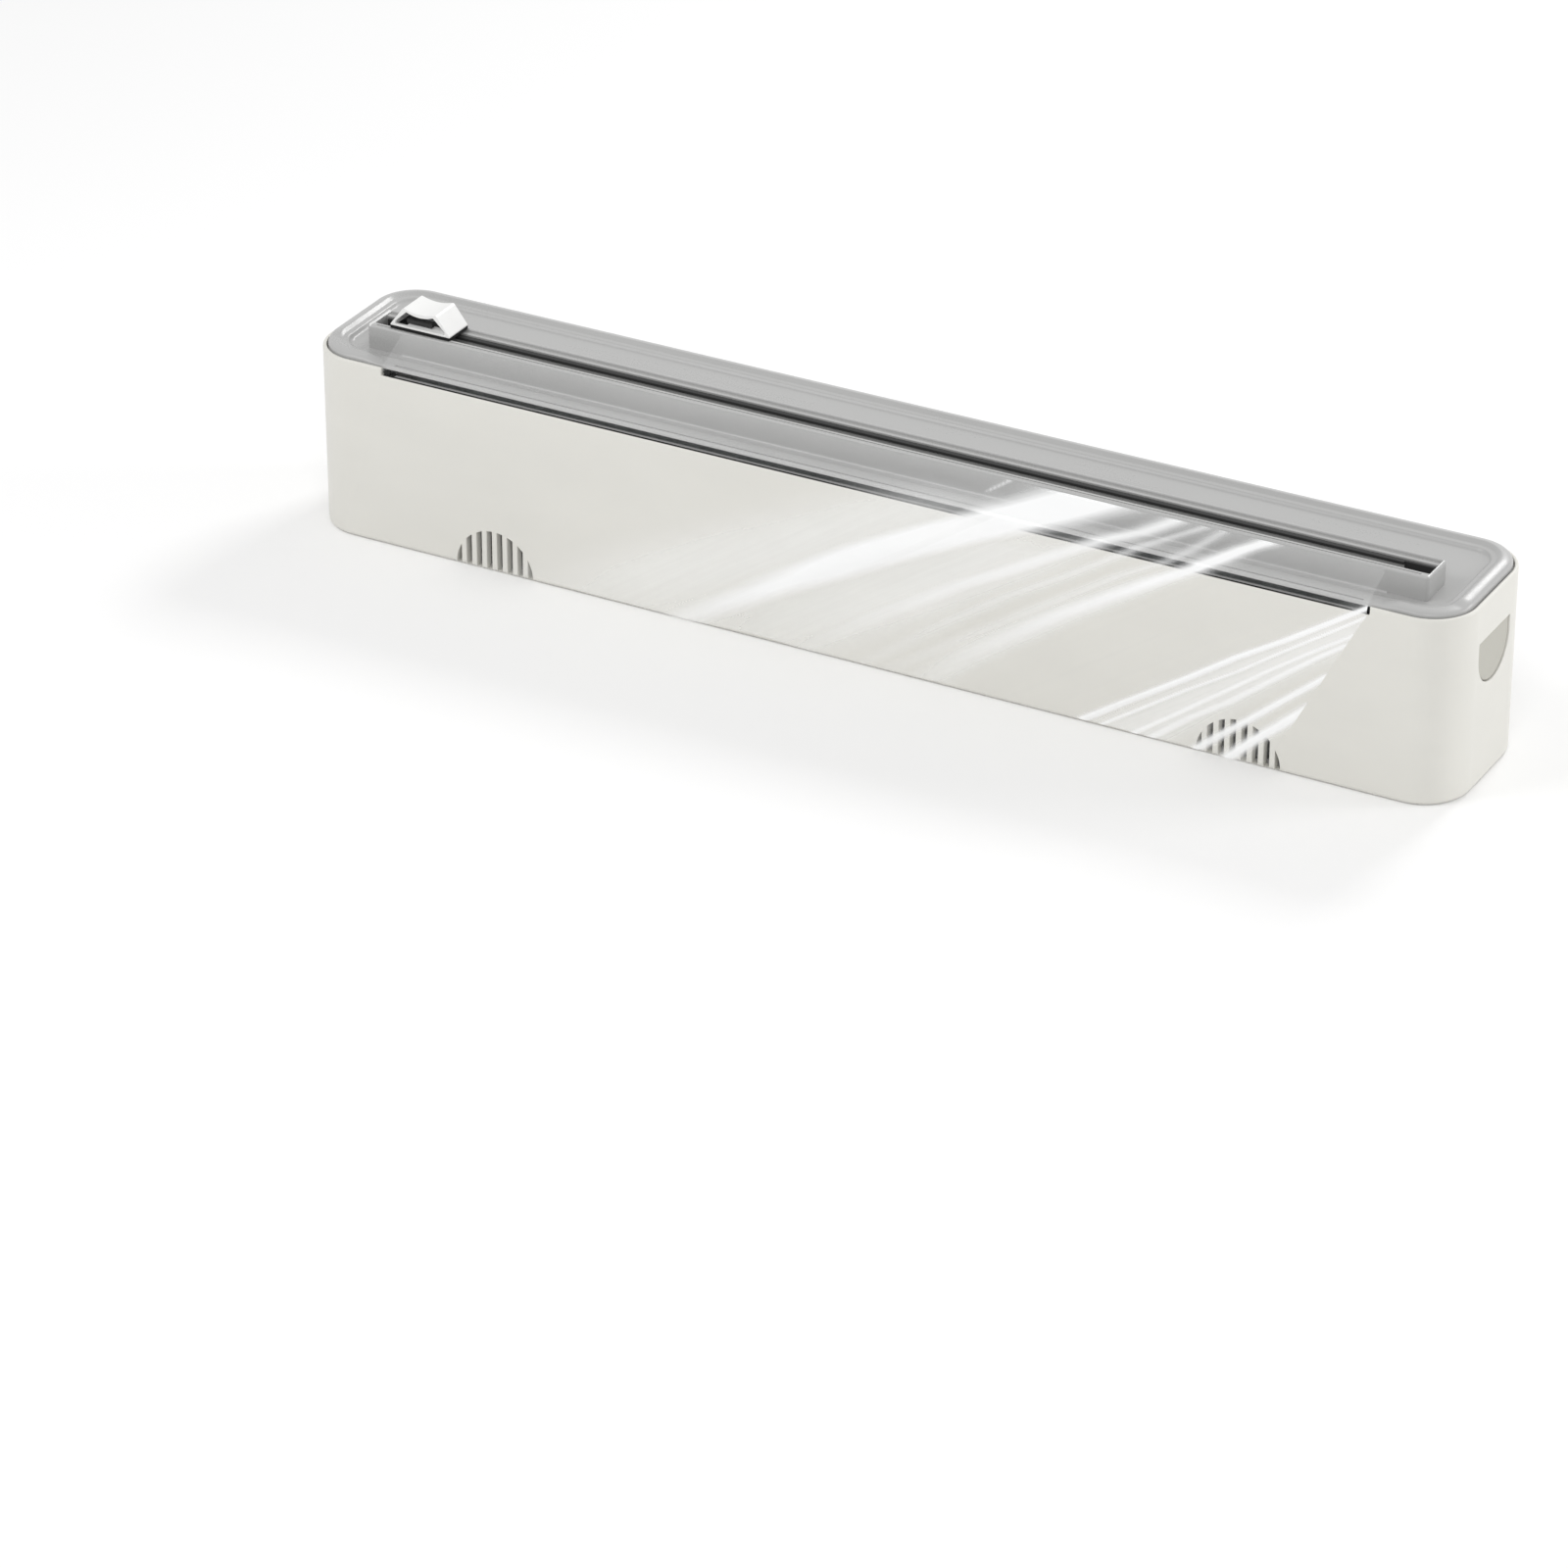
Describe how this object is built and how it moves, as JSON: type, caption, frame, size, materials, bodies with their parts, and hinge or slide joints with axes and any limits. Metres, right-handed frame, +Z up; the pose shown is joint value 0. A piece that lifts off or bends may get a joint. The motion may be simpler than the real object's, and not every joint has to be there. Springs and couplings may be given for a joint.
{
  "type": "cling film dispenser",
  "caption": "Lidded box for a roll of cling film: lift-off lid with a cutter sliding along a rail, film outlet under a front lip, end release pads and suction feet.",
  "frame": {"origin": "under the middle of the box, on the plane it stands on", "axes": "+X along the box to the right end as seen from the front, +Y to the back, +Z up"},
  "size_m": [0.356, 0.0558, 0.0689],
  "materials": {
    "white_plastic": "satin off-white moulding",
    "grey_plastic": "glossy light grey moulding",
    "pad_plastic": "satin warm grey moulding",
    "track_plastic": "dark grey low-friction plastic",
    "slider_plastic": "glossy white moulding",
    "blade_steel": "ground blade steel",
    "cup_vinyl": "clear soft vinyl",
    "core_card": "wound brown card",
    "film_wound": "many layers of clear film",
    "film_clear": "clear cling film"
  },
  "bodies": {
    "body": {"body_shell": "white_plastic", "roll_cradle_left": "white_plastic", "roll_cradle_right": "white_plastic", "suction_cup_left": "cup_vinyl", "suction_cup_right": "cup_vinyl", "film_feed": "film_clear"},
    "lid": {"lid_shell": "grey_plastic", "rail_track": "track_plastic", "film_leaf": "film_clear"},
    "cutter": {"slider_grip": "slider_plastic", "slider_foot": "track_plastic", "cutter_blade": "blade_steel", "blade_pin": "blade_steel"},
    "roll": {"film_roll": "film_wound", "film_core": "core_card", "core_plug_left": "grey_plastic", "core_plug_right": "grey_plastic"},
    "latch_left": {"lid_latch_left": "grey_plastic"},
    "latch_right": {"lid_latch_right": "grey_plastic"},
    "button_left": {"release_button_left": "pad_plastic"},
    "button_right": {"release_button_right": "pad_plastic"}
  },
  "joints": [
    {"name": "lid_lift", "type": "slide", "parent": "body", "child": "lid", "axis": [0, 0, 1], "range_m": [0, 0.065]},
    {"name": "cutter_slide", "type": "slide", "parent": "lid", "child": "cutter", "axis": [1, 0, 0], "range_m": [0, 0.2947]},
    {"name": "roll_spin", "type": "hinge", "parent": "body", "child": "roll", "pos_m": [0, 0, 0.034], "axis": [1, 0, 0], "continuous": true},
    {"name": "button_left_press", "type": "slide", "parent": "body", "child": "button_left", "axis": [1, 0, 0], "range_m": [0, 0.002], "stiffness_N_per_m": 600},
    {"name": "button_right_press", "type": "slide", "parent": "body", "child": "button_right", "axis": [-1, 0, 0], "range_m": [0, 0.002], "stiffness_N_per_m": 600},
    {"name": "latch_left_flex", "type": "hinge", "parent": "lid", "child": "latch_left", "pos_m": [-0.1719, 0, 0.0531], "axis": [0, -1, 0], "range_deg": [0, 6]},
    {"name": "latch_right_flex", "type": "hinge", "parent": "lid", "child": "latch_right", "pos_m": [0.1719, 0, 0.0531], "axis": [0, 1, 0], "range_deg": [0, 6]}
  ],
  "couplings": [
    {"joint": "latch_left_flex", "follows": "button_left_press", "rad_per_m": 50},
    {"joint": "latch_right_flex", "follows": "button_right_press", "rad_per_m": 50}
  ]
}
